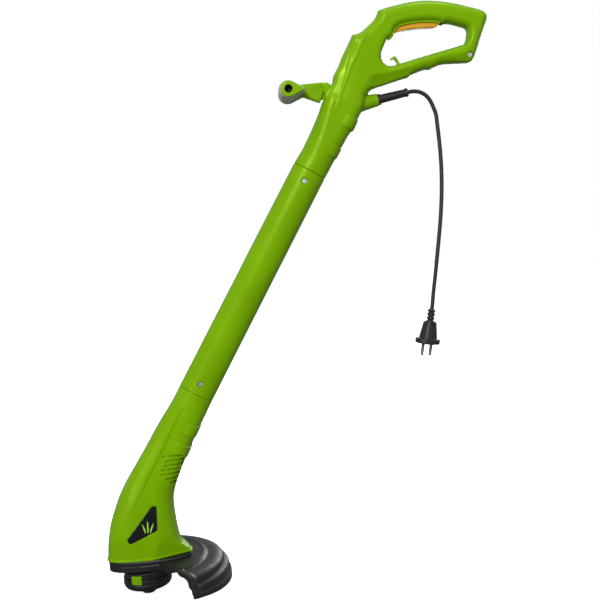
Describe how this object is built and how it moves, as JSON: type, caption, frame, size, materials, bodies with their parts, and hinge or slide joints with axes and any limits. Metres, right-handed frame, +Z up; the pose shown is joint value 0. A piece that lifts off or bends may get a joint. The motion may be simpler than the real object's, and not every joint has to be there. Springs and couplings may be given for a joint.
{
  "type": "string trimmer",
  "caption": "Corded electric string trimmer with a D-shaped trigger handle, front cross grip, slanted oval tube, motor head, spinning line spool and half-round guard.",
  "frame": {"origin": "middle of the main grip, where the hand holds the machine", "axes": "+Z up, +X back towards the user, +Y to the machine's right; the cutting head is at the lower front end"},
  "size_m": [0.5855, 0.2299, 0.9181],
  "materials": {
    "green_plastic": "semi-gloss moulded",
    "amber_plastic": "semi-gloss moulded",
    "black_plastic": "fine moulded texture",
    "cord_rubber": "matt PVC",
    "grey_rubber": "soft-touch",
    "grey_plastic": "plain moulded",
    "screw_steel": "bright zinc",
    "blade_steel": "ground",
    "pin_plating": "nickel plated",
    "die_cast": "as cast",
    "lamination_iron": "dark laminations",
    "copper": "enamelled copper",
    "brass": "turned",
    "carbon": "graphite",
    "nylon_line": "translucent nylon",
    "lead_brown": "PVC insulation",
    "lead_black": "PVC insulation",
    "lead_blue": "PVC insulation",
    "capacitor_case": "moulded case"
  },
  "bodies": {
    "body": {"handle_housing_left": "green_plastic", "handle_housing_right": "green_plastic", "handle_screws": "screw_steel", "trigger_pin": "screw_steel", "trigger_spring": "screw_steel", "switch_body": "black_plastic", "suppression_capacitor": "capacitor_case", "cable_clamp": "grey_plastic", "clamp_screws": "screw_steel", "strain_relief": "cord_rubber", "cord_tail": "cord_rubber", "mains_cord": "cord_rubber", "plug_body": "cord_rubber", "plug_pins": "pin_plating", "live_lead": "lead_brown", "switched_lead": "lead_black", "neutral_lead": "lead_blue", "grip_arm": "green_plastic", "grip_arm_bolt": "screw_steel", "grip_sleeves": "grey_rubber", "grip_caps": "green_plastic", "grip_cap_screws": "screw_steel", "shaft_tube": "green_plastic", "tube_joint_screws": "screw_steel", "motor_housing_left": "green_plastic", "motor_housing_right": "green_plastic", "motor_housing_screws": "screw_steel", "badge_left": "black_plastic", "badge_right": "black_plastic", "motor_stator": "lamination_iron", "field_coils": "copper", "motor_bracket": "die_cast", "motor_end_cap": "black_plastic", "lower_bearing": "screw_steel", "upper_bearing": "screw_steel", "brush_holders": "brass", "carbon_brushes": "carbon", "guard": "black_plastic", "guard_screws": "screw_steel", "line_cutter_blade": "blade_steel", "blade_screws": "screw_steel"},
    "trigger": {"trigger": "amber_plastic"},
    "plunger": {"switch_plunger": "grey_plastic"},
    "rotor": {"motor_shaft": "screw_steel", "armature": "copper", "commutator": "copper", "cooling_fan": "black_plastic", "drive_hub": "brass", "hub_nut": "screw_steel", "spool_housing": "black_plastic", "line_eyelet": "brass", "cutting_line": "nylon_line", "spool_cap": "black_plastic", "feed_spring": "screw_steel"},
    "feed": {"spool": "grey_plastic", "wound_line": "nylon_line", "bump_knob": "black_plastic"},
    "clip_left": {"release_clip_left": "green_plastic"},
    "clip_right": {"release_clip_right": "green_plastic"}
  },
  "joints": [
    {"name": "trigger_press", "type": "hinge", "parent": "body", "child": "trigger", "pos_m": [0.032, 0, -0.003], "axis": [0, 1, 0], "range_deg": [0, 4], "stiffness_Nm_per_rad": 2, "springref_deg": -1.72},
    {"name": "plunger_press", "type": "slide", "parent": "body", "child": "plunger", "axis": [0, 0, 1], "range_m": [0, 0.0056]},
    {"name": "spool_spin", "type": "hinge", "parent": "body", "child": "rotor", "pos_m": [-0.4353, 0, -0.8391], "axis": [-0.0958, 0, 0.9954], "continuous": true},
    {"name": "bump_feed", "type": "slide", "parent": "rotor", "child": "feed", "axis": [-0.0958, 0, 0.9954], "range_m": [0, 0.004], "stiffness_N_per_m": 800, "springref_m": -0.004, "deforming": ["feed_spring"]},
    {"name": "clip_left_press", "type": "slide", "parent": "rotor", "child": "clip_left", "axis": [0.3404, 0.9397, 0.0328], "range_m": [0, 0.002], "stiffness_N_per_m": 1500, "springref_m": -0.001},
    {"name": "clip_right_press", "type": "slide", "parent": "rotor", "child": "clip_right", "axis": [-0.3404, -0.9397, -0.0328], "range_m": [0, 0.002], "stiffness_N_per_m": 1500, "springref_m": -0.001}
  ],
  "couplings": [
    {"joint": "plunger_press", "follows": "trigger_press", "m_per_rad": 0.078}
  ]
}
